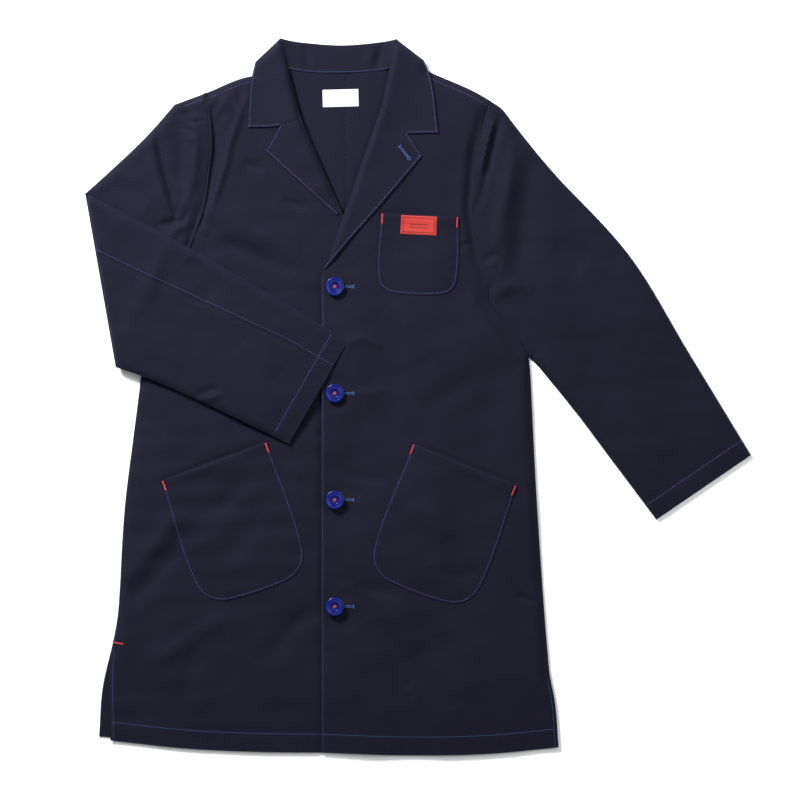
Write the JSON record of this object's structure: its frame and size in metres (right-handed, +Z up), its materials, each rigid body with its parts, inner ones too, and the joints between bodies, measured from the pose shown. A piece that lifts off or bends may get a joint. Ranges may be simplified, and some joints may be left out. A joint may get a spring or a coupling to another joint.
{
  "type": "lab coat",
  "caption": "Long navy twill lab coat laid flat, buttoned, with notched lapels, patch pockets and one sleeve folded across the front.",
  "frame": {"origin": "on the surface that the coat lies on, under the middle of its bounding box", "axes": "+Z up out of the coat's front, +Y from the hem to the collar, +X towards the wearer's left"},
  "size_m": [0.9304, 1.0034, 0.0206],
  "materials": {
    "twill": "matte",
    "facing": "matte",
    "button": "gloss",
    "blue_thread": "satin",
    "red_thread": "satin",
    "red_label": "satin",
    "white_label": "satin"
  },
  "bodies": {
    "torso": {"back_left_panel": "twill", "back_right_panel": "twill", "front_left_panel": "twill", "front_right_panel": "twill", "collar_stand": "twill", "collar_back_fall": "twill", "right_sleeve_top": "twill", "right_sleeve_under": "twill", "chest_pocket": "twill", "left_pocket": "twill", "right_pocket": "twill", "front_left_facing": "facing", "front_right_facing": "facing", "chest_pocket_bartack_inner": "red_thread", "chest_pocket_bartack_outer": "red_thread", "left_pocket_bartack_inner": "red_thread", "left_pocket_bartack_outer": "red_thread", "right_pocket_bartack_inner": "red_thread", "right_pocket_bartack_outer": "red_thread", "right_vent_bartack": "red_thread", "buttonhole_1": "blue_thread", "buttonhole_2": "blue_thread", "buttonhole_3": "blue_thread", "buttonhole_4": "blue_thread", "chest_label": "red_label", "neck_label": "white_label"},
    "left_upper_sleeve": {"left_sleeve_top": "twill", "left_sleeve_under": "twill"},
    "left_forearm": {"left_forearm_top": "twill", "left_forearm_under": "twill"},
    "right_forearm": {"right_forearm_top": "twill", "right_forearm_under": "twill"},
    "left_lapel": {"collar_left": "twill", "lapel_left": "twill", "lapel_buttonhole": "blue_thread"},
    "right_lapel": {"collar_right": "twill", "lapel_right": "twill"},
    "button_1_body": {"button_1": "button", "button_thread_1": "red_thread"},
    "button_2_body": {"button_2": "button", "button_thread_2": "red_thread"},
    "button_3_body": {"button_3": "button", "button_thread_3": "red_thread"},
    "button_4_body": {"button_4": "button", "button_thread_4": "red_thread"}
  },
  "joints": [
    {"name": "left_shoulder", "type": "hinge", "parent": "torso", "child": "left_upper_sleeve", "pos_m": [0.07364, 0.2739, 0.012], "axis": [0, -1, 0], "range_deg": [0, 75]},
    {"name": "left_elbow", "type": "hinge", "parent": "left_upper_sleeve", "child": "left_forearm", "pos_m": [0.28984, 0.0422, 0.0089], "axis": [-0.8117, -0.5841, 0], "range_deg": [0, 165]},
    {"name": "right_elbow", "type": "hinge", "parent": "torso", "child": "right_forearm", "pos_m": [-0.44413, 0.16287, 0.0103], "axis": [0.1734, -0.9849, 0], "range_deg": [0, 175]},
    {"name": "left_lapel_turn", "type": "hinge", "parent": "torso", "child": "left_lapel", "pos_m": [-0.09156, 0.2924, 0.01185], "axis": [-0.3291, -0.9443, 0], "range_deg": [0, 90]},
    {"name": "right_lapel_turn", "type": "hinge", "parent": "torso", "child": "right_lapel", "pos_m": [-0.13576, 0.3243, 0.00885], "axis": [-0.4018, 0.9157, 0], "range_deg": [0, 90]},
    {"name": "button_1_tilt", "type": "hinge", "parent": "torso", "child": "button_1_body", "pos_m": [-0.11686, 0.1539, 0.009], "axis": [1, 0, 0], "range_deg": [-8, 8], "stiffness_Nm_per_rad": 0.002},
    {"name": "button_2_tilt", "type": "hinge", "parent": "torso", "child": "button_2_body", "pos_m": [-0.11686, 0.0049, 0.009], "axis": [1, 0, 0], "range_deg": [-8, 8], "stiffness_Nm_per_rad": 0.002},
    {"name": "button_3_tilt", "type": "hinge", "parent": "torso", "child": "button_3_body", "pos_m": [-0.11686, -0.1441, 0.009], "axis": [1, 0, 0], "range_deg": [-8, 8], "stiffness_Nm_per_rad": 0.002},
    {"name": "button_4_tilt", "type": "hinge", "parent": "torso", "child": "button_4_body", "pos_m": [-0.11686, -0.2931, 0.009], "axis": [1, 0, 0], "range_deg": [-8, 8], "stiffness_Nm_per_rad": 0.002}
  ]
}
